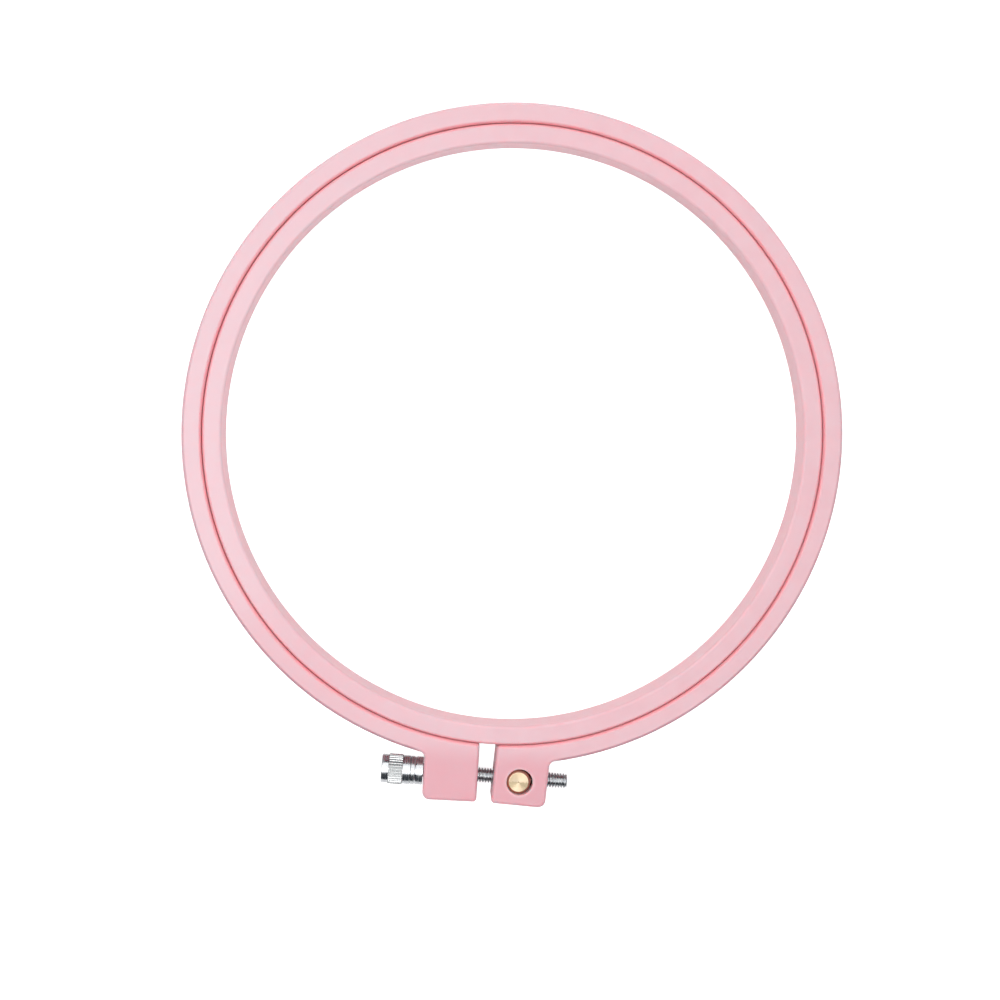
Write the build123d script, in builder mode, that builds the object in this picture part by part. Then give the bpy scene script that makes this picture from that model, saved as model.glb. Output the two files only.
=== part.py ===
from build123d import *
from math import atan2, cos, degrees, pi, sqrt, tan
import os

os.makedirs("parts", exist_ok=True)

# A screw hoop for embroidery, lying flat. Z = 0 is the middle of the rings' height and
# X = Y = 0 the hoop's centre. The split and its two lugs are at -Y, the screw runs along X.

# Rings
hoop_diameter = 160.0  # outside of the outer ring
ring_height = 9.0
outer_ring_width = 4.7
inner_ring_width = 4.6
cloth_gap = 0.3  # left between the rings for the cloth
ring_edge_bevel = 0.45  # small bevels stand for the moulded edges

# Split and lugs of the outer ring
gap_at_ring = 4.3
gap_at_foot = 3.6  # the lugs lean towards each other where the screw draws them in
lug_width = 13.4
lug_drop = 9.8  # the lugs' feet stand this far outside the ring
lug_foot_radius = 1.8
lug_gap_radius = 0.9
lug_root_radius = 1.4
screw_drop = 4.0  # screw axis to the ring's outside
screw_bore = 4.6

# Brass nut, standing across the screw in the right lug
nut_bore = 6.4
nut_bore_from_gap = 6.5  # bore centre to the lug's gap face, along the screw
nut_mouth_chamfer = 0.15
nut_diameter = 5.8
nut_recess = 0.25  # its ends lie this far below both faces of the lug
nut_chamfer = 0.48
nut_side_clearance = 0.05  # on the side where the screw draws the nut against its bore

# Thumb screw, seated on the left lug
thread_diameter = 3.8
thread_clearance = 0.05  # radial, between the screw and the nut
thread_tip_chamfer = 0.35
thread_stick_out = 5.1  # past the right lug
seat_clearance = 0.1  # collar to lug where they are nearest
collar_diameter = 6.9
collar_length = 2.95
vee_from_seat = 1.9  # turned groove round the collar
vee_width = 0.7
vee_depth = 0.2
groove_width = 0.25
groove_depth = 0.18
neck_length = 1.8
knob_diameter = 7.0
knob_end_length = 1.75
knob_end_chamfer = 0.2
knurl_length = 3.5
knurl_diameter = 7.36
knurl_depth = 0.2
knurl_shoulder = 0.15  # bevel at both ends of the ridges
knurl_ridges = 30
valley_share = 0.5  # of the ridges' pitch, at their crests
valley_floor_share = 0.18  # of the ridges' pitch

overrun = 2.0  # how far a cutting shape runs past the stock

# Ring radii, from the outside in
outer_radius = hoop_diameter / 2
outer_bore_radius = outer_radius - outer_ring_width
inner_ring_radius = outer_bore_radius - cloth_gap
inner_ring_middle = inner_ring_radius - inner_ring_width / 2

# A lug is a rectangle square to its gap face, which leans by lug_lean
half_gap_at_ring = gap_at_ring / 2
half_gap_at_foot = gap_at_foot / 2
foot_y = -outer_radius - lug_drop
screw_y = -outer_radius - screw_drop
gap_top_y = -sqrt(outer_bore_radius**2 - half_gap_at_ring**2)
lug_lean = atan2(half_gap_at_ring - half_gap_at_foot, gap_top_y - foot_y)
lug_depth = (gap_top_y - foot_y) / cos(lug_lean)
lug_middle = half_gap_at_foot + lug_width / 2


def half_gap(y):
    # From the split's middle line to the gap face of a lug
    return half_gap_at_ring - (gap_top_y - y) * tan(lug_lean)


def lug_side(y):
    # From the split's middle line to the outer side of a lug
    return half_gap(y) + lug_width / cos(lug_lean)


# Bevels stay smaller than the corners and walls that they run round
edge_limit = min(lug_foot_radius, lug_gap_radius, outer_ring_width / 2, inner_ring_width / 2)
edge_bevel = min(ring_edge_bevel, 0.8 * edge_limit)

nut_bore_x = half_gap(screw_y) + nut_bore_from_gap

with BuildPart() as outer_ring:
    with BuildSketch() as outline:
        Circle(outer_radius)
        # Both lug blocks meet in the split, which then cuts their gap faces
        block_width = lug_width + half_gap_at_ring
        with Locations((0, gap_top_y + half_gap_at_ring * tan(lug_lean))):
            Rectangle(
                block_width,
                lug_depth,
                rotation=-degrees(lug_lean),
                align=(Align.MIN, Align.MAX),
            )
            Rectangle(
                block_width,
                lug_depth,
                rotation=degrees(lug_lean),
                align=(Align.MAX, Align.MAX),
            )
        Circle(outer_bore_radius, mode=Mode.SUBTRACT)
        split_top = gap_top_y + overrun
        split_bottom = foot_y - overrun
        with BuildLine():
            Polyline(
                (-half_gap(split_top), split_top),
                (-half_gap(split_bottom), split_bottom),
                (half_gap(split_bottom), split_bottom),
                (half_gap(split_top), split_top),
                close=True,
            )
        make_face(mode=Mode.SUBTRACT)
        corners = outline.vertices().filter_by(lambda v: v.Y < 0 and abs(v.X) < outer_radius / 2)
        feet = corners.filter_by(lambda v: v.Y < screw_y)
        shoulders = corners.filter_by(lambda v: v.Y > screw_y)
        fillet(feet.filter_by(lambda v: abs(v.X) > lug_middle), radius=lug_foot_radius)
        fillet(feet.filter_by(lambda v: abs(v.X) < lug_middle), radius=lug_gap_radius)
        fillet(shoulders.filter_by(lambda v: abs(v.X) > lug_middle), radius=lug_root_radius)
        fillet(shoulders.filter_by(lambda v: abs(v.X) < lug_middle), radius=lug_gap_radius)
        # Bore for the nut
        with Locations((nut_bore_x, screw_y)):
            Circle(nut_bore / 2, mode=Mode.SUBTRACT)
    extrude(amount=ring_height / 2, both=True)
    flats = outer_ring.faces().filter_by(Axis.Z)
    chamfer([flat.inner_wires()[0].edges() for flat in flats], length=nut_mouth_chamfer)
    flats = outer_ring.faces().filter_by(Axis.Z)
    chamfer([flat.outer_wire().edges() for flat in flats], length=edge_bevel)
    # Clearance bore for the screw, along X through both lugs
    with BuildSketch(Plane.YZ):
        with Locations((screw_y, 0)):
            Circle(screw_bore / 2)
    extrude(amount=lug_side(gap_top_y) + overrun, both=True, mode=Mode.SUBTRACT)
outer_ring.part.label = "outer_ring"

with BuildPart() as inner_ring:
    with BuildSketch(Plane.XZ) as section:
        with Locations((inner_ring_middle, 0)):
            Rectangle(inner_ring_width, ring_height)
        chamfer(section.vertices(), length=edge_bevel)
    revolve(axis=Axis.Z)
inner_ring.part.label = "inner_ring"

# The screw draws the nut to the gap side of its bore
nut_radius = nut_diameter / 2
nut_length = ring_height - 2 * nut_recess
nut_x = nut_bore_x - (nut_bore / 2 - nut_radius - nut_side_clearance)
thread_radius = thread_diameter / 2

with BuildPart() as barrel_nut:
    with BuildSketch(Plane.XY.offset(-nut_length / 2)):
        with Locations((nut_x, screw_y)):
            Circle(nut_radius)
    extrude(amount=nut_length)
    chamfer(barrel_nut.edges().filter_by(GeomType.CIRCLE), length=nut_chamfer)
    # Tapped hole, at the height of the screw
    with BuildSketch(Plane.YZ.offset(nut_x)):
        with Locations((screw_y, 0)):
            Circle(thread_radius + thread_clearance)
    extrude(amount=nut_radius + overrun, both=True, mode=Mode.SUBTRACT)
barrel_nut.part.label = "barrel_nut"

# Places along the screw, from the left lug out to the knob's end, and its other end
knob_radius = knob_diameter / 2
collar_radius = collar_diameter / 2
knurl_radius = knurl_diameter / 2
seat_x = -lug_side(screw_y + collar_radius) - seat_clearance
vee_x = seat_x - vee_from_seat
groove_x = seat_x - collar_length
neck_x = groove_x - groove_width
knurl_x = neck_x - neck_length
knurl_end_x = knurl_x - knurl_length
knob_end_x = knurl_end_x - knob_end_length
thread_end_x = lug_side(screw_y) + thread_stick_out

with BuildPart() as thumb_screw:
    # Half section, from the axis outwards
    with BuildSketch(Plane.XY.move(Location((0, screw_y, 0)))):
        with BuildLine():
            Polyline(
                (knob_end_x, 0),
                (knob_end_x, knob_radius - knob_end_chamfer),
                (knob_end_x + knob_end_chamfer, knob_radius),
                (knurl_end_x, knob_radius),
                (knurl_end_x, knurl_radius - knurl_shoulder),
                (knurl_end_x + knurl_shoulder, knurl_radius),
                (knurl_x - knurl_shoulder, knurl_radius),
                (knurl_x, knurl_radius - knurl_shoulder),
                (knurl_x, knob_radius),
                (neck_x, knob_radius),
                (neck_x, collar_radius - groove_depth),
                (groove_x, collar_radius - groove_depth),
                (groove_x, collar_radius),
                (vee_x - vee_width / 2, collar_radius),
                (vee_x, collar_radius - vee_depth),
                (vee_x + vee_width / 2, collar_radius),
                (seat_x, collar_radius),
                (seat_x, thread_radius),
                (thread_end_x - thread_tip_chamfer, thread_radius),
                (thread_end_x, thread_radius - thread_tip_chamfer),
                (thread_end_x, 0),
                close=True,
            )
        make_face()
    revolve(axis=Axis((0, screw_y, 0), (1, 0, 0)))
    # Valleys between the straight grip ridges
    ridge_pitch = 2 * pi * knurl_radius / knurl_ridges
    half_valley = valley_share * ridge_pitch / 2
    half_floor = valley_floor_share * ridge_pitch / 2
    with BuildSketch(Plane.YZ.offset(knurl_end_x)):
        with Locations((screw_y, 0)):
            with PolarLocations(knurl_radius, knurl_ridges):
                Polygon(
                    (knurl_depth, half_valley),
                    (0, half_valley),
                    (-knurl_depth, half_floor),
                    (-knurl_depth, -half_floor),
                    (0, -half_valley),
                    (knurl_depth, -half_valley),
                    align=None,
                )
    extrude(amount=knurl_length, mode=Mode.SUBTRACT)
thumb_screw.part.label = "thumb_screw"

export_step(outer_ring.part, "parts/outer_ring.step")
export_step(inner_ring.part, "parts/inner_ring.step")
export_step(barrel_nut.part, "parts/barrel_nut.step")
export_step(thumb_screw.part, "parts/thumb_screw.step")
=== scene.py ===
import bpy
from math import atan2, cos, pi, radians, sin, sqrt
from mathutils import Matrix, Vector


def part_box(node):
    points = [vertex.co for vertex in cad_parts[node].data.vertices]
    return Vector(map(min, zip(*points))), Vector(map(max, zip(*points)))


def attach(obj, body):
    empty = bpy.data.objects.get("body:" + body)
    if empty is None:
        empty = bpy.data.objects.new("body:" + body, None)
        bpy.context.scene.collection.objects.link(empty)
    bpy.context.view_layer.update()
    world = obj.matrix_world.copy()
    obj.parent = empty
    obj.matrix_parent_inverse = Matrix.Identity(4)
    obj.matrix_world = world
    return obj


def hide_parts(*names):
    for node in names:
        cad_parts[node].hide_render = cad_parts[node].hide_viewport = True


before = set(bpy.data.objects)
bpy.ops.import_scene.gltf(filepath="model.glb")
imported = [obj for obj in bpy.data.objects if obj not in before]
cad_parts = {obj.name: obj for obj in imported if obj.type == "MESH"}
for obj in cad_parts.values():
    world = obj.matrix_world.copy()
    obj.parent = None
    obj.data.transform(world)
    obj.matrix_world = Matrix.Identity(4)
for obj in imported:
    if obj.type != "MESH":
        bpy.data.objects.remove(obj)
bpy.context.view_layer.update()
print("frame loaded, nodes:", ", ".join(sorted(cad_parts)))

# Pieces are modelled in millimetres and brought to metres when they are finished
mmInMetre = 1000.0
fullTurn = 2 * pi
samePlace = 0.001  # corners this near to each other count as one
mergeDistance = 0.0005
fineMergeDistance = 0.0002  # where a cut leaves very short edges
roundProfile = 0.5  # a bevel's profile that makes it a quarter circle
spinAxis = {"center": (0, 0, 0), "axis": (0, 0, 1)}
facing = 0.5  # a normal's share along an axis that counts as facing it
facingFlat = 0.9
mouldedSharp = 35  # degrees between two faces from which their edge stays sharp
turnedSharp = 32


def boxOf(node):
    low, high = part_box(node)
    return low * mmInMetre, high * mmInMetre


# Where things are, from the frame
outerLow, outerHigh = boxOf("outer_ring")
innerHigh = boxOf("inner_ring")[1]
screwLow, screwHigh = boxOf("thumb_screw")
nutLow, nutHigh = boxOf("barrel_nut")
screwY = (nutLow.y + nutHigh.y) / 2
nutX = (nutLow.x + nutHigh.x) / 2
ringHeight = outerHigh.z - outerLow.z
halfHeight = ringHeight / 2
outerRadius = outerHigh.y


# Helpers for working on the active piece

def objectMode():
    if bpy.context.object and bpy.context.object.mode != "OBJECT":
        bpy.ops.object.mode_set(mode="OBJECT")


def nothingSelected():
    objectMode()
    bpy.ops.object.select_all(action="DESELECT")


def makeActive(piece):
    nothingSelected()
    piece.select_set(True)
    bpy.context.view_layer.objects.active = piece


def newPiece(name):
    piece = bpy.context.object
    piece.name = name
    piece.data.name = name
    bpy.ops.object.transform_apply(location=True, rotation=True, scale=True)
    return piece


def pick(piece, kind, wanted):
    # Selects the faces, edges or corners that wanted() takes, and stays in edit mode
    bpy.ops.object.mode_set(mode="EDIT")
    bpy.ops.mesh.select_mode(type=kind)
    bpy.ops.mesh.select_all(action="DESELECT")
    bpy.ops.object.mode_set(mode="OBJECT")
    mesh = piece.data
    if kind == "FACE":
        for face in mesh.polygons:
            face.select = wanted(face.center, face.normal)
    elif kind == "EDGE":
        for edge in mesh.edges:
            first, second = [mesh.vertices[i].co for i in edge.vertices]
            edge.select = wanted(first, second)
    else:
        for corner in mesh.vertices:
            corner.select = wanted(corner.co)
    bpy.ops.object.mode_set(mode="EDIT")


def pickAll(kind="VERT"):
    bpy.ops.object.mode_set(mode="EDIT")
    bpy.ops.mesh.select_mode(type=kind)
    bpy.ops.mesh.select_all(action="SELECT")


def closeUp(threshold=mergeDistance):
    # Merges what a spin or a cut left double and turns every face outwards
    pickAll()
    bpy.ops.mesh.remove_doubles(threshold=threshold)
    bpy.ops.mesh.normals_make_consistent(inside=False)
    objectMode()


def combine(piece, tool, operation):
    # Cuts, joins or keeps the overlap with another closed shape, which is used up
    makeActive(piece)
    modifier = piece.modifiers.new("combine", "BOOLEAN")
    modifier.operation = operation
    modifier.solver = "EXACT"
    modifier.object = tool
    bpy.ops.object.modifier_apply(modifier="combine")
    bpy.data.objects.remove(tool)


def smoothFaces(piece, sharpAngle):
    makeActive(piece)
    bpy.ops.object.shade_smooth_by_angle(angle=radians(sharpAngle))
    modifier = piece.modifiers.new("evenNormals", "WEIGHTED_NORMAL")
    modifier.keep_sharp = True
    modifier.weight = 80  # large faces stay flat up to their rounded edges
    bpy.ops.object.modifier_apply(modifier="evenNormals")


def finishPiece(piece, node, material):
    # To metres, then dressed and hung on the body that its CAD node belongs to
    makeActive(piece)
    piece.scale = (1 / mmInMetre,) * 3
    bpy.ops.object.transform_apply(location=True, rotation=True, scale=True)
    piece.data.materials.clear()
    piece.data.materials.append(material)
    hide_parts(node)
    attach(piece, node)
    print("made", piece.name, "with", len(piece.data.polygons), "faces")


def lathe(name, stations, steps):
    # A turned shape along Z: a disc at the first (height, radius), drawn on through the rest
    height, radius = stations[0]
    nothingSelected()
    bpy.ops.mesh.primitive_circle_add(
        vertices=steps, radius=radius, fill_type="NGON", location=(0, 0, height)
    )
    piece = newPiece(name)
    pickAll("FACE")
    for nextHeight, nextRadius in stations[1:]:
        bpy.ops.mesh.extrude_region_move(
            TRANSFORM_OT_translate={"value": (0, 0, nextHeight - height)}
        )
        ratio = nextRadius / radius
        bpy.ops.transform.resize(value=(ratio, ratio, 1), center_override=(0, 0, nextHeight))
        height, radius = nextHeight, nextRadius
    closeUp()
    return piece


def layAlongX(piece, y):
    # Turns a lathe shape so that its height runs along the screw
    makeActive(piece)
    piece.matrix_world = Matrix.Translation((0, y, 0)) @ Matrix.Rotation(pi / 2, 4, "Y")
    bpy.ops.object.transform_apply(location=True, rotation=True, scale=True)


# Inner ring

innerRing = {
    "width": 4.6,
    "drawnTight": 0.07,  # the closed hoop shows less than the CAD's gap, by this much a side
    "edgeRadius": 0.75,  # moulded round edges
    "edgeSteps": 8,
    "turnSteps": 400,
}


def addSection(name, radius, width, height):
    # Upright rectangle on the +X side, ready to be spun about Z
    nothingSelected()
    bpy.ops.mesh.primitive_plane_add(size=1, location=(radius, 0, 0), rotation=(pi / 2, 0, 0))
    bpy.context.object.scale = (width, height, 1)
    return newPiece(name)


def buildInnerRing(material):
    size = innerRing
    width = size["width"] + size["drawnTight"]
    middle = innerHigh.x + size["drawnTight"] - width / 2
    piece = addSection("clothRing", middle, width, ringHeight)
    pickAll()
    bpy.ops.mesh.bevel(
        offset=size["edgeRadius"],
        segments=size["edgeSteps"],
        affect="VERTICES",
        profile=roundProfile,
    )
    bpy.ops.mesh.select_all(action="SELECT")
    bpy.ops.mesh.delete(type="ONLY_FACE")
    pickAll()
    bpy.ops.mesh.spin(steps=size["turnSteps"], angle=fullTurn, **spinAxis)
    closeUp()
    smoothFaces(piece, mouldedSharp)
    finishPiece(piece, "inner_ring", material)
    return piece


# Outer ring with its two lugs

outerRing = {
    "width": 4.7,
    "edgeRadius": 0.85,
    "edgeSteps": 8,
    "turnSteps": 376,
    "lugSteps": 4,  # columns of the ring behind each lug
    "gapAtRing": 4.3,
    "gapAtFoot": 3.6,
    "lugWidth": 13.4,
    "lugDrop": 9.8,
    "footRadius": 1.8,
    "gapRadius": 0.9,
    "rootRadius": 1.4,
    "cornerSteps": 10,
    "cornerReach": 0.2,  # how near a corner's upright edge lies to its calculated place
    "flatReach": 5.0,  # the ring's faces up to here past a lug's root share the lug's flat
    "roundedFrom": 60,  # degrees between two faces from which their edge is rounded
    "nutBore": 6.4,
    "nutBoreFromGap": 6.5,
    "nutBoreSteps": 128,
    "mouthRadius": 0.3,
    "mouthSteps": 4,
    "mouthOverrun": 1.0,  # how far the cutting bars run past the lugs
    "screwBore": 4.6,
    "screwBoreSteps": 64,
    "screwOverrun": 3.0,
}

# The split narrows towards the feet, so each lug leans by lugLean
boreRadius = outerRadius - outerRing["width"] - innerRing["drawnTight"]
gapTopY = -sqrt(boreRadius**2 - (outerRing["gapAtRing"] / 2) ** 2)
footY = -outerRadius - outerRing["lugDrop"]
lugLean = atan2((outerRing["gapAtRing"] - outerRing["gapAtFoot"]) / 2, gapTopY - footY)


def halfGap(y):
    # From the split's middle line to the gap face of a lug
    return outerRing["gapAtRing"] / 2 - (gapTopY - y) * sin(lugLean) / cos(lugLean)


def lugSide(y):
    # From the split's middle line to the outer side of a lug
    return halfGap(y) + outerRing["lugWidth"] / cos(lugLean)


def lugRoot():
    # Closes in on where the outer side of a lug meets the outside of the ring
    tries = 6
    y = -outerRadius
    for attempt in range(tries):
        y = -sqrt(outerRadius**2 - lugSide(y) ** 2)
    return lugSide(y), y


rootX, rootY = lugRoot()
nutBoreX = halfGap(screwY) + outerRing["nutBoreFromGap"]


def nearLugs(place):
    return place.y < -outerRadius / 2


def addNutBore():
    # A round bar that opens in a quarter arc at both mouths
    size = outerRing
    radius = size["nutBore"] / 2
    mouth = size["mouthRadius"]
    flare = []
    for step in range(size["mouthSteps"] + 1):
        angle = step / size["mouthSteps"] * pi / 2
        height = halfHeight - mouth * (1 - sin(angle))
        flare.append((height, radius + mouth * (1 - cos(angle))))
    flare.append((halfHeight + size["mouthOverrun"], radius + mouth))
    stations = [(-height, wide) for height, wide in reversed(flare)] + flare
    cutter = lathe("nutBore", stations, size["nutBoreSteps"])
    cutter.location = (nutBoreX, screwY, 0)
    return cutter


def addScrewBore():
    size = outerRing
    radius = size["screwBore"] / 2
    reach = lugSide(screwY) + size["screwOverrun"]
    cutter = lathe("screwBore", [(-reach, radius), (reach, radius)], size["screwBoreSteps"])
    layAlongX(cutter, screwY)
    return cutter


def drawLug(piece, side):
    # Draws one lug out of the ring's wall, square to its leaning gap face
    size = outerRing
    cornerX = side * size["gapAtFoot"] / 2
    pick(
        piece,
        "FACE",
        lambda middle, normal: side * middle.x > 0
        and abs(middle.x) < rootX
        and middle.y < rootY
        and normal.y < -facing,
    )
    bpy.ops.mesh.extrude_region()
    foot = (cornerX, footY, 0)
    bpy.ops.transform.resize(value=(1, 0, 1), center_override=foot)
    widen = size["lugWidth"] / (rootX - abs(cornerX))
    bpy.ops.transform.resize(value=(widen, 1, 1), center_override=foot)
    bpy.ops.transform.rotate(value=side * lugLean, orient_axis="Z", center_override=foot)
    # Cut along the gap face
    pick(piece, "FACE", lambda middle, normal: side * middle.x > 0 and nearLugs(middle))
    bpy.ops.mesh.bisect(
        plane_co=foot,
        plane_no=(-side * cos(lugLean), sin(lugLean), 0),
        use_fill=True,
        clear_outer=True,
    )
    objectMode()


def roundUprightCorner(piece, x, y, radius):
    size = outerRing
    pick(
        piece,
        "EDGE",
        lambda first, second: (first - second).xy.length < samePlace
        and (first.xy - Vector((x, y))).length < size["cornerReach"],
    )
    bpy.ops.mesh.bevel(offset=radius, segments=size["cornerSteps"], profile=roundProfile)
    objectMode()


def buildOuterRing(material):
    size = outerRing
    lugTurn = atan2(rootX, -rootY)  # from the split's middle to a lug's root
    sameTurn = 0.001
    sectionMiddle = (outerRadius + boreRadius) / 2
    piece = addSection("splitRing", sectionMiddle, outerRadius - boreRadius, ringHeight)
    piece.rotation_euler.z = -pi / 2 + lugTurn
    makeActive(piece)
    bpy.ops.object.transform_apply(location=True, rotation=True, scale=True)
    pickAll("FACE")
    bpy.ops.mesh.delete(type="ONLY_FACE")
    # Round from the right root to the left one, then behind both lugs to the middle of the split
    pickAll()
    bpy.ops.mesh.spin(steps=size["turnSteps"], angle=2 * lugTurn - fullTurn, **spinAxis)
    bpy.ops.mesh.spin(steps=size["lugSteps"], angle=-lugTurn, **spinAxis)
    pick(piece, "VERT", lambda place: abs(atan2(place.x, -place.y) - lugTurn) < sameTurn)
    bpy.ops.mesh.spin(steps=size["lugSteps"], angle=lugTurn, **spinAxis)
    objectMode()
    pickAll()
    bpy.ops.mesh.normals_make_consistent(inside=False)
    for side in (-1, 1):
        drawLug(piece, side)
    closeUp()
    # Upright corners
    cornerX = size["gapAtFoot"] / 2 + size["lugWidth"] * cos(lugLean)
    cornerY = footY - size["lugWidth"] * sin(lugLean)
    rootBend = pi / 2 - lugTurn - lugLean  # how far the outline turns at a root
    rootSetback = size["rootRadius"] * sin(rootBend / 2) / cos(rootBend / 2)
    for side in (-1, 1):
        roundUprightCorner(piece, side * cornerX, cornerY, size["footRadius"])
        roundUprightCorner(piece, side * size["gapAtFoot"] / 2, footY, size["gapRadius"])
        roundUprightCorner(piece, side * size["gapAtRing"] / 2, gapTopY, size["gapRadius"])
        roundUprightCorner(piece, side * rootX, rootY, rootSetback)
    # One flat each for the top and underside of a lug and the ring next to it
    for side in (-1, 1):
        for upwards in (-1, 1):
            pick(
                piece,
                "FACE",
                lambda middle, normal: upwards * normal.z > facingFlat
                and 0 < side * middle.x < rootX + size["flatReach"]
                and nearLugs(middle),
            )
            bpy.ops.mesh.dissolve_faces()
            objectMode()
    # All top and bottom edges
    pickAll("EDGE")
    bpy.ops.mesh.select_all(action="DESELECT")
    bpy.ops.mesh.edges_select_sharp(sharpness=radians(size["roundedFrom"]))
    bpy.ops.mesh.bevel(
        offset=size["edgeRadius"],
        segments=size["edgeSteps"],
        profile=roundProfile,
        clamp_overlap=False,
    )
    closeUp()
    combine(piece, addNutBore(), "DIFFERENCE")
    combine(piece, addScrewBore(), "DIFFERENCE")
    closeUp()
    smoothFaces(piece, mouldedSharp)
    finishPiece(piece, "outer_ring", material)
    return piece


# Thumb screw

thumbScrew = {
    "knobDiameter": 7.0,
    "endRound": 0.25,
    "endSteps": 4,
    "plainEnd": 1.75,
    "gripLength": 3.5,
    "gripDiameter": 7.36,
    "gripShoulder": 0.15,
    "gripSlope": 0.04,  # half the length over which the band rises from the knob
    "ridges": 30,
    "stepsPerRidge": 8,
    "valleyDepth": 0.28,
    "valleyShares": (1.0, 0.8, 0.3, 0.05),  # of the depth, step by step from a valley's middle
    "ringReach": 0.005,  # how near a corner lies to the radius of its ring
    "neckLength": 1.8,
    "scribeFromSeat": 3.73,
    "scribeWidth": 0.08,
    "scribeDepth": 0.05,
    "grooveWidth": 0.25,
    "grooveDepth": 0.18,
    "collarDiameter": 6.9,
    "collarLength": 2.95,
    "veeFromSeat": 1.9,
    "veeWidth": 0.7,
    "veeDepth": 0.16,
    "veeBelly": 0.6,  # share of the depth halfway down its sides
    "seatRound": 0.06,
    "seatForward": 0.04,  # the drawn-up seat lies closer than the CAD's running clearance
    "threadDiameter": 3.8,
    "threadPitch": 0.7,
    "threadDepth": 0.56,
    # (share of the pitch, share of the depth) from root to crest and back
    "threadProfile": ((0, 0), (0.06, 0), (0.44, 1), (0.56, 1), (0.94, 0), (1, 0)),
    "threadSteps": 32,
    "threadInside": 1.5,  # its length within the collar
    "tipChamfer": 0.4,
    "barClearance": 0.15,  # the bar that trims the thread stands clear of the crests
    "barSteps": 64,
}


def headStations():
    # (place along the screw, radius) from the knob's end to the seat
    size = thumbScrew
    knob = size["knobDiameter"] / 2
    grip = size["gripDiameter"] / 2
    collar = size["collarDiameter"] / 2
    end = screwLow.x
    gripStart = end + size["plainEnd"]
    gripEnd = gripStart + size["gripLength"]
    neckEnd = gripEnd + size["neckLength"]
    collarStart = neckEnd + size["grooveWidth"]
    seat = collarStart + size["collarLength"]
    scribe = seat - size["scribeFromSeat"]
    vee = seat - size["veeFromSeat"]
    drawnSeat = seat + size["seatForward"]
    endRound = size["endRound"]
    shoulder = size["gripShoulder"]
    slope = size["gripSlope"]
    veeSide = size["veeWidth"] / 4
    veeBelly = collar - size["veeDepth"] * size["veeBelly"]
    stations = []
    for step in range(size["endSteps"] + 1):
        angle = step / size["endSteps"] * pi / 2
        stations.append((end + endRound * (1 - cos(angle)), knob - endRound * (1 - sin(angle))))
    stations += [
        (gripStart - slope, knob),
        (gripStart + slope, grip - shoulder),
        (gripStart + shoulder, grip),
        (gripEnd - shoulder, grip),
        (gripEnd - slope, grip - shoulder),
        (gripEnd + slope, knob),
        (scribe - size["scribeWidth"] / 2, knob),
        (scribe, knob - size["scribeDepth"]),
        (scribe + size["scribeWidth"] / 2, knob),
        (neckEnd, knob),
        ((neckEnd + collarStart) / 2, collar - size["grooveDepth"]),
        (collarStart, collar),
        (vee - size["veeWidth"] / 2, collar),
        (vee - veeSide, veeBelly),
        (vee, collar - size["veeDepth"]),
        (vee + veeSide, veeBelly),
        (vee + size["veeWidth"] / 2, collar),
        (drawnSeat - size["seatRound"], collar),
        (drawnSeat, collar - size["seatRound"]),
    ]
    return stations, gripStart, gripEnd, seat


def cutGripValleys(piece, gripStart, gripEnd):
    # The band's rings of corners, drawn in towards the axis between the ridges
    size = thumbScrew
    steps = size["ridges"] * size["stepsPerRidge"]
    grip = size["gripDiameter"] / 2
    floor = grip - size["valleyDepth"]
    for offset, share in enumerate(size["valleyShares"]):
        for wanted in (grip - size["gripShoulder"], grip):
            deep = wanted - share * (wanted - floor)

            def inValley(place):
                if not gripStart < place.x < gripEnd:
                    return False
                radius = Vector((place.y - screwY, place.z)).length
                if abs(radius - wanted) > size["ringReach"]:
                    return False
                index = round(atan2(place.z, place.y - screwY) / fullTurn * steps)
                turn = index % size["stepsPerRidge"]
                return min(turn, size["stepsPerRidge"] - turn) == offset

            pick(piece, "VERT", inValley)
            ratio = deep / wanted
            bpy.ops.transform.resize(value=(1, ratio, ratio), center_override=(0, screwY, 0))
            objectMode()


def addThread(start, end):
    # One pitch of the thread's profile, wound round the axis
    size = thumbScrew
    pitch = size["threadPitch"]
    crest = size["threadDiameter"] / 2
    root = crest - size["threadDepth"]
    mesh = bpy.data.meshes.new("thread")
    points = [
        (start + along * pitch, 0, root + outwards * (crest - root))
        for along, outwards in size["threadProfile"]
    ]
    mesh.from_pydata(points, [(i, i + 1) for i in range(len(points) - 1)], [])
    piece = bpy.data.objects.new("thread", mesh)
    bpy.context.scene.collection.objects.link(piece)
    piece.location = (0, screwY, 0)
    makeActive(piece)
    modifier = piece.modifiers.new("wind", "SCREW")
    modifier.axis = "X"
    modifier.angle = fullTurn
    modifier.screw_offset = pitch
    modifier.iterations = int((end - start) / pitch) + 1
    modifier.steps = modifier.render_steps = size["threadSteps"]
    modifier.use_merge_vertices = True
    modifier.merge_threshold = samePlace
    bpy.ops.object.modifier_apply(modifier="wind")
    bpy.ops.object.transform_apply(location=True, rotation=True, scale=True)
    pickAll()
    bpy.ops.mesh.remove_doubles(threshold=samePlace)
    bpy.ops.mesh.select_mode(type="EDGE")
    bpy.ops.mesh.select_all(action="DESELECT")
    bpy.ops.mesh.select_non_manifold()
    bpy.ops.mesh.fill()
    closeUp()
    return piece


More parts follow.
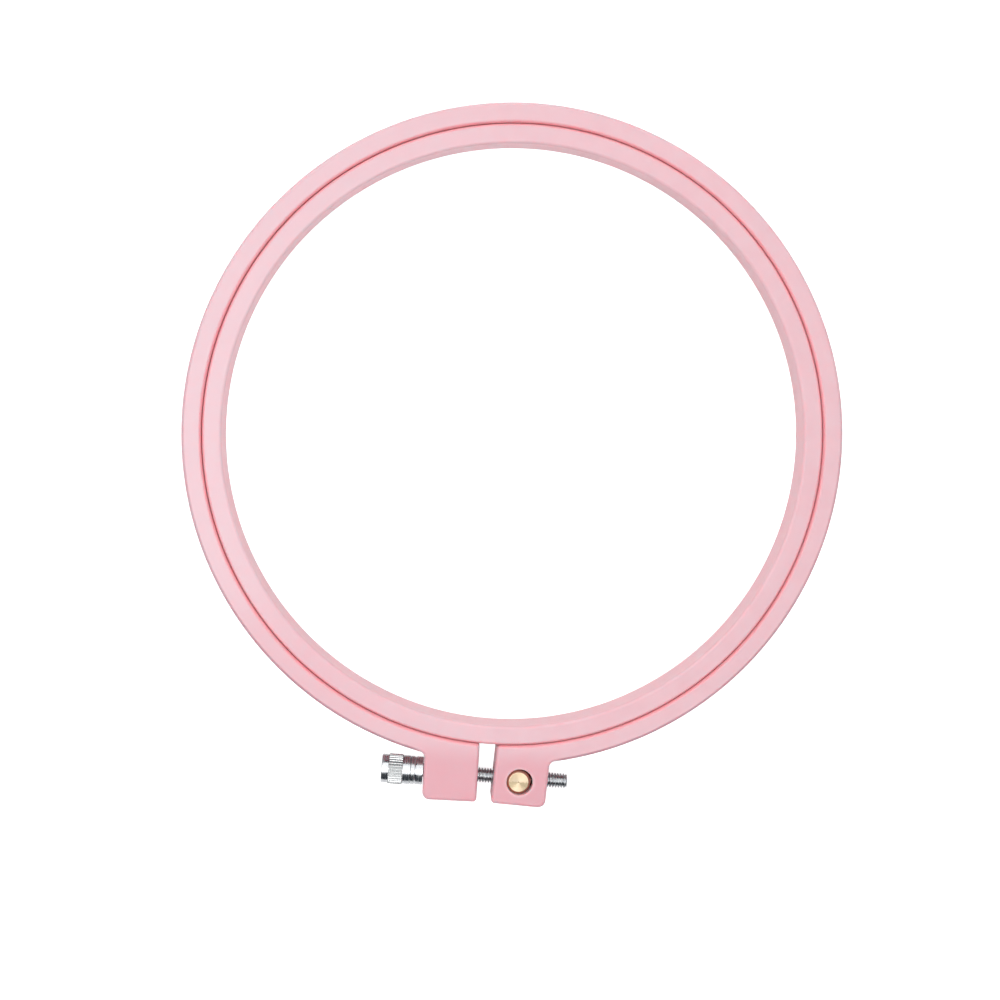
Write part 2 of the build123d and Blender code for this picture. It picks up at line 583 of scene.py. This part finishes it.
def buildThumbScrew(material):
    size = thumbScrew
    stations, gripStart, gripEnd, seat = headStations()
    piece = lathe("thumbScrewTurned", stations, size["ridges"] * size["stepsPerRidge"])
    layAlongX(piece, screwY)
    cutGripValleys(piece, gripStart, gripEnd)
    closeUp()
    # Threaded shank: the wound thread kept inside a bar with a bevelled tip
    inside = size["threadInside"]
    spare = 2 * size["threadPitch"]
    tip = screwHigh.x
    thread = addThread(seat - inside - spare, tip + spare)
    barRadius = size["threadDiameter"] / 2 + size["barClearance"]
    tipRadius = size["threadDiameter"] / 2 - size["tipChamfer"]
    bar = lathe(
        "bar",
        [(seat - inside, barRadius), (tip - (barRadius - tipRadius), barRadius), (tip, tipRadius)],
        size["barSteps"],
    )
    layAlongX(bar, screwY)
    combine(thread, bar, "INTERSECT")
    combine(piece, thread, "UNION")
    closeUp(fineMergeDistance)
    smoothFaces(piece, turnedSharp)
    finishPiece(piece, "thumb_screw", material)
    return piece


# Brass nut

barrelNut = {
    "chamfer": 0.48,
    "faceBreak": (0.06, 0.08),  # shares of the chamfer that soften its edge to the face
    "dish": 0.02,  # its faces are a little hollow from the lathe
    "dishHalfway": 0.7,  # share of the dish at half the face's radius
    "pipRadius": 0.16,
    "pipDepth": 0.07,
    "pipTip": 0.1,  # share of the pip's radius at its bottom
    "threadClearance": 0.05,
    "steps": 128,
    "holeSteps": 64,
}


def buildBarrelNut(material):
    size = barrelNut
    radius = (nutHigh.y - nutLow.y) / 2
    half = (nutHigh.z - nutLow.z) / 2
    chamfer = size["chamfer"]
    face = radius - chamfer
    outside, inside = [chamfer * share for share in size["faceBreak"]]
    upper = [
        (half - chamfer, radius),
        (half - outside, face + outside),
        (half, face - inside),
        (half - size["dish"] * size["dishHalfway"], face / 2),
        (half - size["dish"], size["pipRadius"]),
        (half - size["dish"] - size["pipDepth"], size["pipRadius"] * size["pipTip"]),
    ]
    lower = [(-height, wide) for height, wide in reversed(upper)]
    piece = lathe("barrelNutTurned", lower + upper, size["steps"])
    piece.location = (nutX, screwY, 0)
    makeActive(piece)
    bpy.ops.object.transform_apply(location=True, rotation=True, scale=True)
    hole = thumbScrew["threadDiameter"] / 2 + size["threadClearance"]
    reach = nutHigh.x + radius
    cutter = lathe("tapping", [(nutLow.x - radius, hole), (reach, hole)], size["holeSteps"])
    layAlongX(cutter, screwY)
    combine(piece, cutter, "DIFFERENCE")
    closeUp(fineMergeDistance)
    smoothFaces(piece, turnedSharp)
    finishPiece(piece, "barrel_nut", material)
    return piece


# Materials

# Lengths here are in metres, as in the shaders. A range goes from where its effect begins to
# where it is full, and shares are of the size that the code multiplies them with.
plastic = {
    "colour": (0.70, 0.47, 0.505, 1),
    "cloudColour": (0.69, 0.45, 0.485, 1),
    "cloudSize": 0.006,
    "cloudDetail": 3.0,
    "cloudRange": (0.35, 0.7),
    "litSideColour": (0.68, 0.485, 0.52, 1),  # painted light, paler on the left side where more light falls
    "litSideRange": (0.04, -0.08),
    "frontShadeColour": (0.67, 0.42, 0.457, 1),  # painted shade, darker between the left side and the lugs
    "frontShadeRange": (-0.035, -0.062),
    "wallColour": (0.75, 0.44, 0.475, 1),  # rosier below the edges, where light comes through
    "wallRange": (0.0043, 0.0036),  # up or down from the middle of the height
    "litWallColour": (0.88, 0.52, 0.565, 1),  # painted light on the walls at the back and left
    "litWallFull": 0.11,
    "lugShadeColour": (0.67, 0.37, 0.41, 1),  # painted shade, deeper and darker on the lugs at the front
    "lugShadeRange": (-0.074, -0.081),
    "lugHalfWidth": 0.019,
    "lugShadeSideShares": (1.3, 0.8),
    "litMouthColour": (0.70, 0.43, 0.46, 1),  # painted light on the rounded rim and walls of the nut's bore
    "litMouthWidth": 0.0006,
    "seamGlowColour": (0.76, 0.33, 0.36, 1),  # painted reddish glow and shade along the edges where the rings meet
    "seamGlowRange": (0.00095, 0.0002),
    "seamGlowDepth": 0.0025,
    "edgeShadeColour": (0.74, 0.64, 0.67, 1),  # painted shade on the outer edge, most towards the lugs
    "edgeShadeFaint": 0.05,  # share of it at the back
    # Shares of the edge's radius: down from the top face, in from the rim and out past it
    "edgeShadeTop": (0.001, 0.01),
    "edgeShadeBottom": (1.4, 1.0),
    "edgeShadeInside": (1.15, 0.6),
    "edgeShadeOutside": (1.0, 0.7),
    "edgeShadeLugShares": (0.85, 1.0),
    "grainSize": 0.00035,
    "grainDetail": 2.0,
    "grainRange": (0.3, 0.7),
    "grainBump": (0.15, 0.00002),  # strength and depth
    "roughness": (0.36, 0.46),
    "specular": 0.35,
    "glowDepth": 0.001,
    "glowRadius": (1.0, 0.35, 0.38),  # how much further red light travels in it
}
zinc = {
    "colour": (0.62, 0.63, 0.635, 1),
    "dullColour": (0.50, 0.51, 0.53, 1),
    "patchScale": 900,
    "patchDetail": 2.0,
    "patchRange": (0.35, 0.65),
    "gripColour": (0.64, 0.65, 0.65, 1),  # scuffed by fingers
    "gripShares": (1.05, 1.0),
    "gripRoughness": 0.1,  # added to the plain one
    "valleyShadeColour": (0.1, 0.105, 0.11, 1),  # painted shade between the grip's ridges
    "valleyShares": (0.35, 0.8),
    "valleyShadeFaint": 0.25,  # share of it on the upper and lower side
    "valleyShadeSideShares": (0.35, 0.6),
    "boreShadeColour": (0.38, 0.2, 0.17, 1),  # painted shade and reddish reflection on the thread inside the nut's bore
    "boreShadeShares": (1.2, 1.0),
    # Fine rings left by turning: quick change along the screw, hardly any round it
    "streakStretch": (1, 0.02, 0.02),
    "streakScale": 3500,
    "streakDetail": 3.0,
    "streakHarshness": 0.7,
    "streakRange": (0.35, 0.65),
    "streakBump": (0.6, 0.00003),
    "roughness": (0.1, 0.38),
}
brass = {
    "colour": (0.57, 0.44, 0.29, 1),
    "paleColour": (0.59, 0.48, 0.34, 1),
    "patchScale": 700,
    "patchDetail": 3.0,
    "patchRange": (0.3, 0.7),
    "patchBump": (0.1, 0.00002),
    "dimReflectionColour": (0.40, 0.32, 0.205, 1),  # painted darker reflection in two fans on the turned faces
    "fanStart": (-0.75, -0.1),  # radians from due east and due west
    "fanEnd": (0.6, 0.35),
    "grainScale": 2600,  # breaks up the fans' edges
    "grainDetail": 2.0,
    "grainTurn": 0.9,
    "chamferColour": (0.66, 0.42, 0.31, 1),  # rougher and more coppery than the faces
    "chamferShares": (1.0, 1.03),
    "pipColour": (0.2, 0.14, 0.09, 1),
    "pipShares": (1.0, 0.8),
    "roughness": 0.28,
    "chamferRoughness": 0.55,
    "anisotropy": 0.6,
}
white = (1, 1, 1, 1)


class NodeBoard:
    # Short way to place and link shader nodes
    def __init__(self, name):
        self.material = bpy.data.materials.new(name)
        self.material.use_nodes = True
        self.tree = self.material.node_tree
        self.shader = self.tree.nodes["Principled BSDF"]

    def add(self, kind, **values):
        node = self.tree.nodes.new(kind)
        for key, value in values.items():
            setattr(node, key, value)
        return node

    def link(self, source, target):
        self.tree.links.new(source, target)


def objectPlace(board, scale=(1, 1, 1)):
    coordinates = board.add("ShaderNodeTexCoord")
    mapping = board.add("ShaderNodeMapping")
    mapping.inputs["Scale"].default_value = scale
    board.link(coordinates.outputs["Object"], mapping.inputs["Vector"])
    return mapping.outputs["Vector"]


def splitAxes(board, place):
    axes = board.add("ShaderNodeSeparateXYZ")
    board.link(place, axes.inputs["Vector"])
    return axes.outputs


def noise(board, vector, scale, detail, roughness=0.5):
    node = board.add("ShaderNodeTexNoise")
    node.inputs["Scale"].default_value = scale
    node.inputs["Detail"].default_value = detail
    node.inputs["Roughness"].default_value = roughness
    board.link(vector, node.inputs["Vector"])
    return node.outputs["Fac"]


def ramp(board, factor, start, end, startValue=0, endValue=1):
    # From one value to another while the factor goes from start up or down to end
    if start > end:
        start, end = end, start
        startValue, endValue = endValue, startValue
    node = board.add("ShaderNodeMapRange", interpolation_type="SMOOTHSTEP")
    node.inputs["From Min"].default_value = start
    node.inputs["From Max"].default_value = end
    node.inputs["To Min"].default_value = startValue
    node.inputs["To Max"].default_value = endValue
    board.link(factor, node.inputs["Value"])
    return node.outputs["Result"]


def sums(board, operation, first, second=0.0):
    # A Math node whose inputs are numbers or other nodes' outputs
    node = board.add("ShaderNodeMath", operation=operation)
    for index, value in enumerate((first, second)):
        if isinstance(value, (int, float)):
            node.inputs[index].default_value = value
        else:
            board.link(value, node.inputs[index])
    return node.outputs[0]


def product(board, first, *others):
    for other in others:
        first = sums(board, "MULTIPLY", first, other)
    return first


def away(board, place, middle):
    # How far a place is from the middle, to either side
    return sums(board, "ABSOLUTE", sums(board, "SUBTRACT", place, middle))


def distance(board, first, second):
    squares = [sums(board, "MULTIPLY", value, value) for value in (first, second)]
    return sums(board, "SQRT", sums(board, "ADD", *squares))


def mixColours(board, factor, first, second, blend="MIX"):
    # Colours are given as numbers or as another node's output
    node = board.add("ShaderNodeMixRGB", blend_type=blend)
    board.link(factor, node.inputs["Fac"])
    for key, value in (("Color1", first), ("Color2", second)):
        if isinstance(value, tuple):
            node.inputs[key].default_value = value
        else:
            board.link(value, node.inputs[key])
    return node.outputs["Color"]


def bump(board, height, strength, depth):
    node = board.add("ShaderNodeBump")
    node.inputs["Strength"].default_value = strength
    node.inputs["Distance"].default_value = depth
    board.link(height, node.inputs["Height"])
    board.link(node.outputs["Normal"], board.shader.inputs["Normal"])


def shareOfEdge(board, across, along, height, radius):
    # Painted shade on the rounded upper and lower edge along the outside of the outer ring, but
    # not of the lugs
    edge = halfHeight / mmInMetre
    rim = outerRadius / mmInMetre
    roundness = outerRing["edgeRadius"] / mmInMetre
    bottom, top, inside = [
        [start - share * roundness for share in plastic[name]]
        for start, name in ((edge, "edgeShadeBottom"), (edge, "edgeShadeTop"), (rim, "edgeShadeInside"))
    ]
    outside = [rim + share * roundness for share in plastic["edgeShadeOutside"]]
    lugEnd = [share * plastic["lugHalfWidth"] for share in plastic["edgeShadeLugShares"]]
    return product(
        board,
        ramp(board, height, *bottom),
        ramp(board, height, *top),
        ramp(board, radius, *inside),
        ramp(board, radius, *outside),
        ramp(board, along, -rim, rim, 1, plastic["edgeShadeFaint"]),
        ramp(board, sums(board, "ABSOLUTE", across), *lugEnd),
    )


def pinkPlastic():
    board = NodeBoard("pinkPlastic")
    shader = board.shader
    place = objectPlace(board)
    across, along, upwards = splitAxes(board, place)
    height = sums(board, "ABSOLUTE", upwards)
    radius = distance(board, across, along)
    clouds = noise(board, place, 1 / plastic["cloudSize"], plastic["cloudDetail"])
    cloudy = ramp(board, clouds, *plastic["cloudRange"])
    colour = mixColours(board, cloudy, plastic["colour"], plastic["cloudColour"])
    # Painted light: paler towards the left, where more light falls
    litSide = ramp(board, across, *plastic["litSideRange"])
    colour = mixColours(board, litSide, colour, plastic["litSideColour"])
    # Painted shade towards the front left, where less light falls
    frontShade = product(
        board,
        ramp(board, along, *plastic["frontShadeRange"]),
        ramp(board, across, 0, plastic["frontShadeRange"][1]),
    )
    colour = mixColours(board, frontShade, colour, plastic["frontShadeColour"])
    # Upright walls: a painted glow below the edges where light comes through, and painted light at
    # the back and left
    litBackLeft = ramp(board, sums(board, "SUBTRACT", along, across), 0, plastic["litWallFull"])
    wallLightTint = mixColours(board, litBackLeft, plastic["wallColour"], plastic["litWallColour"])
    wall = ramp(board, height, *plastic["wallRange"])
    colour = mixColours(board, wall, colour, wallLightTint)
    # Lugs: painted shade
    lugShadeSides = [share * plastic["lugHalfWidth"] for share in plastic["lugShadeSideShares"]]
    lugShadeShare = product(
        board,
        ramp(board, along, *plastic["lugShadeRange"]),
        ramp(board, sums(board, "ABSOLUTE", across), *lugShadeSides),
    )
    colour = mixColours(board, lugShadeShare, colour, plastic["lugShadeColour"])
    # Painted light on the rim round the nut's bore
    bore = (outerRing["nutBore"] / 2 + outerRing["mouthRadius"]) / mmInMetre
    fromBore = distance(
        board,
        sums(board, "SUBTRACT", across, nutBoreX / mmInMetre),
        sums(board, "SUBTRACT", along, screwY / mmInMetre),
    )
    mouth = ramp(board, fromBore, bore + plastic["litMouthWidth"], bore)
    colour = mixColours(board, mouth, colour, plastic["litMouthColour"])
    # Painted glow and shade on the upper and lower edges of both rings where they face each other
    seam = (outerRadius - outerRing["width"] + innerHigh.x) / 2 / mmInMetre
    seamGlowEnd = halfHeight / mmInMetre - plastic["seamGlowDepth"]
    seamGlow = product(
        board,
        ramp(board, away(board, radius, seam), *plastic["seamGlowRange"]),
        ramp(board, height, seamGlowEnd, seamGlowEnd + plastic["seamGlowDepth"] / 2),
    )
    colour = mixColours(board, seamGlow, colour, plastic["seamGlowColour"])
    # Painted shade on the outer rounded edges
    edgeShade = shareOfEdge(board, across, along, height, radius)
    colour = mixColours(board, edgeShade, colour, plastic["edgeShadeColour"], "MULTIPLY")
    board.link(colour, shader.inputs["Base Color"])
    grain = noise(board, place, 1 / plastic["grainSize"], plastic["grainDetail"])
    roughness = ramp(board, grain, *plastic["grainRange"], *plastic["roughness"])
    board.link(roughness, shader.inputs["Roughness"])
    shader.inputs["Specular IOR Level"].default_value = plastic["specular"]
    shader.inputs["Subsurface Weight"].default_value = 1.0
    shader.inputs["Subsurface Radius"].default_value = plastic["glowRadius"]
    shader.inputs["Subsurface Scale"].default_value = plastic["glowDepth"]
    bump(board, grain, *plastic["grainBump"])
    return board.material


def turnedZinc():
    board = NodeBoard("turnedZinc")
    shader = board.shader
    streaks = noise(
        board,
        objectPlace(board, zinc["streakStretch"]),
        zinc["streakScale"],
        zinc["streakDetail"],
        zinc["streakHarshness"],
    )
    place = objectPlace(board)
    east, north, upwards = splitAxes(board, place)
    patches = noise(board, place, zinc["patchScale"], zinc["patchDetail"])
    dull = ramp(board, patches, *zinc["patchRange"])
    colour = mixColours(board, dull, zinc["colour"], zinc["dullColour"])
    # Grip band
    gripStart, gripEnd = headStations()[1:3]
    gripMiddle = (gripStart + gripEnd) / 2 / mmInMetre
    gripHalf = thumbScrew["gripLength"] / 2 / mmInMetre
    gripEnds = [share * gripHalf for share in zinc["gripShares"]]
    onGrip = ramp(board, away(board, east, gripMiddle), *gripEnds)
    colour = mixColours(board, onGrip, colour, zinc["gripColour"])
    # Painted shade in its valleys, fainter on the upper and lower side
    grip = thumbScrew["gripDiameter"] / 2 / mmInMetre
    depth = thumbScrew["valleyDepth"] / mmInMetre
    sideways = sums(board, "SUBTRACT", north, screwY / mmInMetre)
    radius = distance(board, sideways, upwards)
    valleyRadii = [grip - share * depth for share in zinc["valleyShares"]]
    valleyShadeSides = [share * grip for share in zinc["valleyShadeSideShares"]]
    valleyShade = product(
        board,
        ramp(board, radius, *valleyRadii),
        onGrip,
        ramp(board, sums(board, "ABSOLUTE", sideways), *valleyShadeSides, zinc["valleyShadeFaint"], 1),
    )
    colour = mixColours(board, valleyShade, colour, zinc["valleyShadeColour"])
    # Painted shade on the thread inside the nut's bore
    boreEnds = [share * outerRing["nutBore"] / 2 / mmInMetre for share in zinc["boreShadeShares"]]
    boreShade = ramp(board, away(board, east, nutBoreX / mmInMetre), *boreEnds)
    colour = mixColours(board, boreShade, colour, zinc["boreShadeColour"])
    board.link(colour, shader.inputs["Base Color"])
    shader.inputs["Metallic"].default_value = 1.0
    plain = ramp(board, streaks, *zinc["streakRange"], *zinc["roughness"])
    extra = sums(board, "MULTIPLY", onGrip, zinc["gripRoughness"])
    board.link(sums(board, "ADD", plain, extra), shader.inputs["Roughness"])
    bump(board, streaks, *zinc["streakBump"])
    return board.material


def turnedBrass():
    board = NodeBoard("turnedBrass")
    shader = board.shader
    place = objectPlace(board)
    axes = splitAxes(board, place)
    east = sums(board, "SUBTRACT", axes["X"], nutX / mmInMetre)
    north = sums(board, "SUBTRACT", axes["Y"], screwY / mmInMetre)
    radius = distance(board, east, north)
    patches = noise(board, place, brass["patchScale"], brass["patchDetail"])
    pale = ramp(board, patches, *brass["patchRange"])
    colour = mixColours(board, pale, brass["colour"], brass["paleColour"])
    # Painted reflection: two darker fans by the angle round the nut
    angle = sums(board, "ARCTAN2", north, sums(board, "ABSOLUTE", east))
    grain = noise(board, place, brass["grainScale"], brass["grainDetail"])
    angle = sums(board, "ADD", angle, sums(board, "MULTIPLY", grain, brass["grainTurn"]))
    fanReflection = product(
        board, ramp(board, angle, *brass["fanStart"]), ramp(board, angle, *brass["fanEnd"])
    )
    colour = mixColours(board, fanReflection, colour, brass["dimReflectionColour"])
    face = (nutHigh.x - nutLow.x) / 2 - barrelNut["chamfer"]
    chamferRadii = [share * face / mmInMetre for share in brass["chamferShares"]]
    onChamfer = ramp(board, radius, *chamferRadii)
    colour = mixColours(board, onChamfer, colour, brass["chamferColour"])
    pipRadii = [share * barrelNut["pipRadius"] / mmInMetre for share in brass["pipShares"]]
    colour = mixColours(board, ramp(board, radius, *pipRadii), colour, brass["pipColour"])
    board.link(colour, shader.inputs["Base Color"])
    shader.inputs["Metallic"].default_value = 1.0
    roughness = ramp(board, onChamfer, 0, 1, brass["roughness"], brass["chamferRoughness"])
    board.link(roughness, shader.inputs["Roughness"])
    shader.inputs["Anisotropic"].default_value = brass["anisotropy"]
    tangent = board.add("ShaderNodeTangent", direction_type="RADIAL", axis="Z")
    board.link(tangent.outputs["Tangent"], shader.inputs["Tangent"])
    bump(board, patches, *brass["patchBump"])
    return board.material


# Floor, light and camera

studio = {
    "floorSize": 12.0,  # metres, as all lengths here
    "floorBelow": 0.00002,  # under the hoop
    "floorRoughness": 0.9,
    "floorSpecular": 0.1,
    "floorShade": 0.86,  # what the floor gives back to the hoop, with a glow of its own
    "floorGlow": 0.06,
    "seenShade": 0.4,  # what the picture shows of it, with the glow added
    "seenGlow": 0.92,
    "panelSize": (2.8, 2.1),  # overhead, towards the back
    "panelPlace": (0.1, 0.56, 1.0),
    "panelPower": 30.4,
    "keySize": (0.3, 0.3),  # nearer, over the left side
    "keyPlace": (-0.15, -0.06, 0.42),
    "keyPower": 0.85,
    "roomColour": (0.05, 0.058, 0.07, 1),
}
camera = {
    "place": (-18.99, 14.37, 365.96),  # millimetres, in the hoop's frame
    "aim": (-2.11, -15.23, 0),
    "turn": 4.872,  # degrees that the hoop is turned in the picture
    "lens": 54.0,
    "sensor": 36.0,
    "sees": (0.01, 50),  # metres, nearest and furthest
}


def addPanel(name, place, target, size, power):
    # An even rectangle of light that looks at the target
    light = bpy.data.lights.new(name, "AREA")
    light.shape = "RECTANGLE"
    light.size, light.size_y = size
    light.energy = power
    lamp = bpy.data.objects.new(name, light)
    bpy.context.scene.collection.objects.link(lamp)
    lamp.location = place
    lamp.rotation_mode = "QUATERNION"
    lamp.rotation_quaternion = (Vector(place) - Vector(target)).to_track_quat("Z", "Y")


def buildFloor():
    nothingSelected()
    floorZ = outerLow.z / mmInMetre - studio["floorBelow"]
    bpy.ops.mesh.primitive_plane_add(size=studio["floorSize"], location=(0, 0, floorZ))
    floor = bpy.context.object
    floor.name = "floor"
    board = NodeBoard("floorPaper")
    shader = board.shader
    seen = board.add("ShaderNodeLightPath").outputs["Is Camera Ray"]
    shades = [(studio[name],) * 3 + (1,) for name in ("floorShade", "seenShade")]
    board.link(mixColours(board, seen, *shades), shader.inputs["Base Color"])
    shader.inputs["Roughness"].default_value = studio["floorRoughness"]
    shader.inputs["Specular IOR Level"].default_value = studio["floorSpecular"]
    shader.inputs["Emission Color"].default_value = white
    glow = ramp(board, seen, 0, 1, studio["floorGlow"], studio["seenGlow"])
    board.link(glow, shader.inputs["Emission Strength"])
    floor.data.materials.append(board.material)


def buildRoom():
    # White behind the floor, dim for everything that the hoop mirrors
    world = bpy.data.worlds.new("room")
    bpy.context.scene.world = world
    world.use_nodes = True
    nodes = world.node_tree.nodes
    links = world.node_tree.links
    mixed = nodes.new("ShaderNodeMixRGB")
    mixed.inputs["Color1"].default_value = studio["roomColour"]
    mixed.inputs["Color2"].default_value = white
    links.new(nodes.new("ShaderNodeLightPath").outputs["Is Camera Ray"], mixed.inputs["Fac"])
    links.new(mixed.outputs["Color"], nodes["Background"].inputs["Color"])


def buildStudio():
    buildFloor()
    buildRoom()
    below = studio["panelPlace"][:2] + (0,)
    addPanel("overhead", studio["panelPlace"], below, studio["panelSize"], studio["panelPower"])
    addPanel("key", studio["keyPlace"], (0, 0, 0), studio["keySize"], studio["keyPower"])


def placeCamera():
    data = bpy.data.cameras.new("camera")
    data.lens = camera["lens"]
    data.sensor_width = camera["sensor"]
    data.clip_start, data.clip_end = camera["sees"]
    item = bpy.data.objects.new("camera", data)
    bpy.context.scene.collection.objects.link(item)
    place = Vector(camera["place"]) / mmInMetre
    back = (place - Vector(camera["aim"]) / mmInMetre).normalized()
    turn = radians(camera["turn"])
    right = Vector((cos(turn), sin(turn), 0))
    right.z = -right.dot(back) / back.z
    right.normalize()
    up = back.cross(right)
    item.matrix_world = Matrix(
        (
            (right.x, up.x, back.x, place.x),
            (right.y, up.y, back.y, place.y),
            (right.z, up.z, back.z, place.z),
            (0, 0, 0, 1),
        )
    )
    bpy.context.scene.camera = item


pink = pinkPlastic()
buildInnerRing(pink)
buildOuterRing(pink)
buildThumbScrew(turnedZinc())
buildBarrelNut(turnedBrass())
buildStudio()
placeCamera()
bpy.context.scene.view_settings.view_transform = "Standard"
print("floor, light and camera placed")
